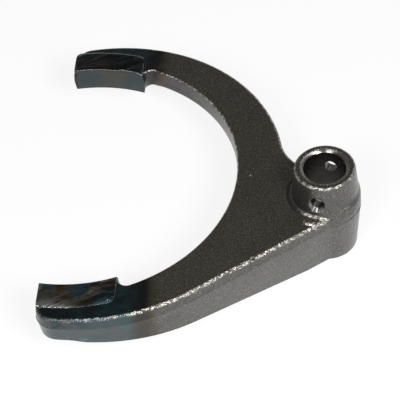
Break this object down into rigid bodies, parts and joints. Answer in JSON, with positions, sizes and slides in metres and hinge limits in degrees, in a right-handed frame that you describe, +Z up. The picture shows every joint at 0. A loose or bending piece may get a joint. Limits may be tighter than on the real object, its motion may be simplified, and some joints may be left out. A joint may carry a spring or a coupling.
{
  "type": "clutch fork",
  "caption": "Forged steel clutch fork: two curved arms with machined shoes for a sliding collar's groove, and a tall bored boss with a cross-pin hole.",
  "frame": {"origin": "on the axis of the rail bore, at the forging's parting plane, which is the middle plane of the arms' web", "axes": "+Z up the rail bore towards the cross-pin hole; the arms open towards -X around the collar; +Y towards the shorter-rooted upper arm"},
  "size_m": [0.1172, 0.144, 0.0401],
  "materials": {
    "forged_steel": "forged and shot-blasted, with machined shoes, bore and pin hole, and arm ends darkened by hardening"
  },
  "bodies": {
    "root": {"clutch_fork": "forged_steel"}
  },
  "joints": []
}
